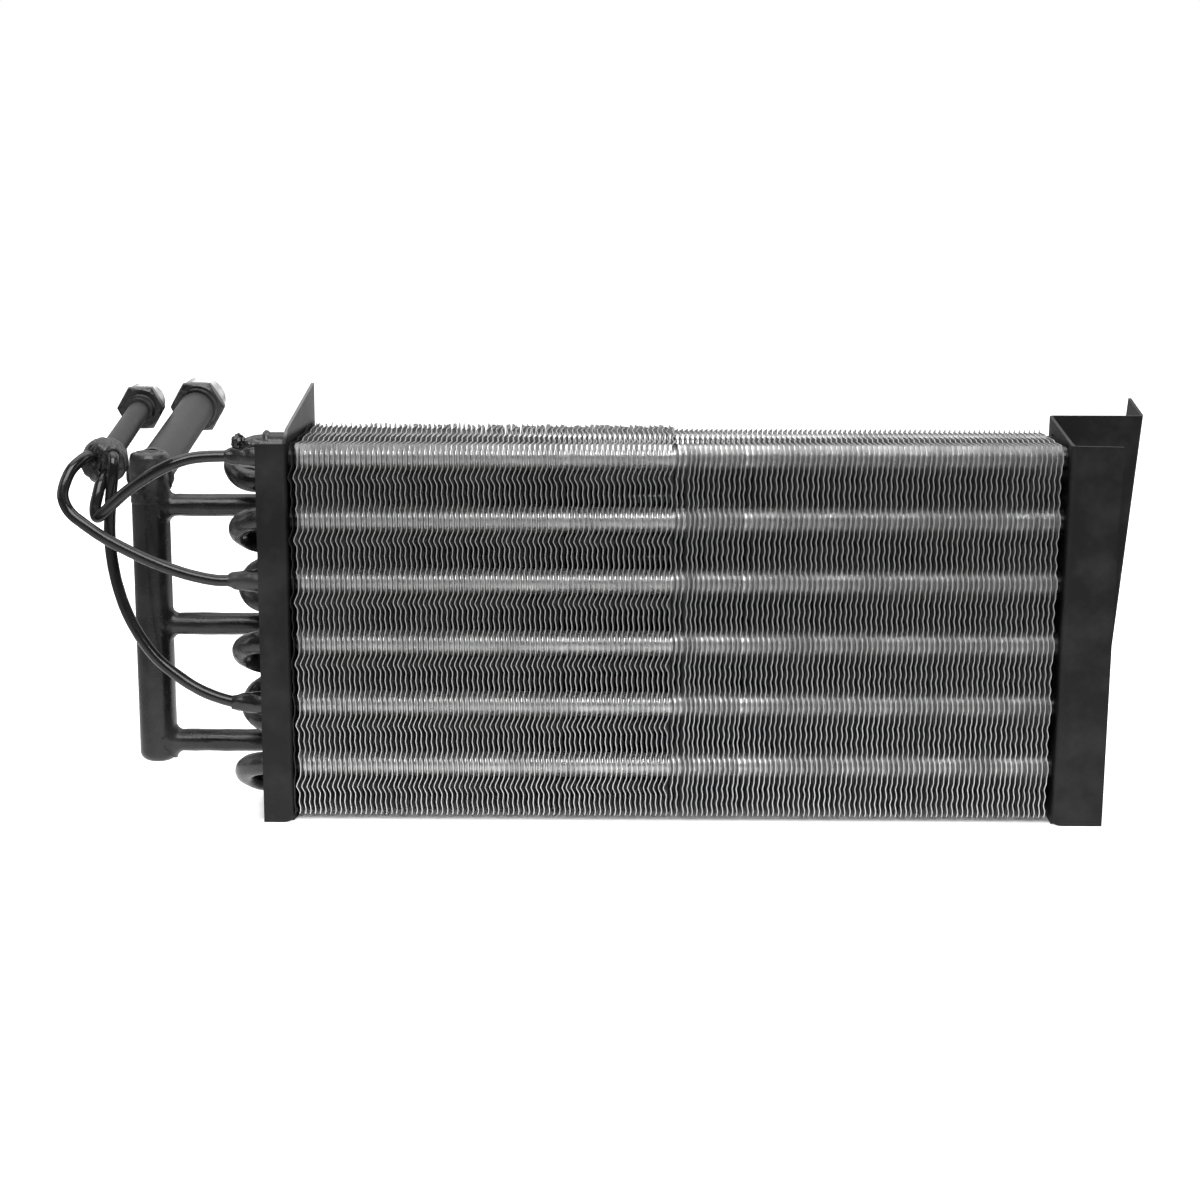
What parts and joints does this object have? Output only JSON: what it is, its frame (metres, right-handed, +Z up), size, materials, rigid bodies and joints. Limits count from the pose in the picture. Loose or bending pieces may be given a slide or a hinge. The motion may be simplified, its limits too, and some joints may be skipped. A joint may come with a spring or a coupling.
{
  "type": "evaporator core",
  "caption": "Finned-tube evaporator core with two folded end plates, a suction header with its line, and a liquid distributor feeding the circuits through capillary tubes.",
  "frame": {"origin": "middle of the part's box, on the surface that the end plates stand on", "axes": "+X along the tubes from the header side to the plain side, +Y through the fins from the front face to the back, +Z up along the header"},
  "size_m": [0.4478, 0.1781, 0.1738],
  "materials": {
    "fins": "bare rolled aluminium foil, slightly dull",
    "painted_tube": "black paint, satin, over copper tube",
    "painted_plate": "black paint, satin, over sheet steel",
    "painted_header": "black paint, satin, over copper tube",
    "fitting": "black paint on the hexagon, bare metal on the thread",
    "capillary": "black paint, semi-gloss, over thin copper tube"
  },
  "bodies": {
    "root": {"fin_stack_left": "fins", "fin_stack_right": "fins", "hairpin_front_1": "painted_tube", "hairpin_front_2": "painted_tube", "hairpin_front_3": "painted_tube", "hairpin_middle_1": "painted_tube", "hairpin_middle_2": "painted_tube", "hairpin_middle_3": "painted_tube", "hairpin_rear_1": "painted_tube", "hairpin_rear_2": "painted_tube", "hairpin_rear_3": "painted_tube", "return_bend_front_1": "painted_tube", "return_bend_front_2": "painted_tube", "return_bend_front_3": "painted_tube", "return_bend_rear_1": "painted_tube", "return_bend_rear_2": "painted_tube", "return_bend_rear_3": "painted_tube", "left_end_plate": "painted_plate", "right_end_plate": "painted_plate", "suction_header": "painted_header", "header_cap": "painted_header", "suction_stub_1": "painted_header", "suction_stub_2": "painted_header", "suction_stub_3": "painted_header", "suction_pipe": "painted_header", "suction_fitting": "fitting", "liquid_pipe": "painted_header", "liquid_fitting": "fitting", "distributor": "painted_header", "capillary_1": "capillary", "capillary_2": "capillary", "capillary_3": "capillary", "inlet_sleeve_1": "painted_tube", "inlet_sleeve_2": "painted_tube", "inlet_sleeve_3": "painted_tube"}
  },
  "joints": []
}
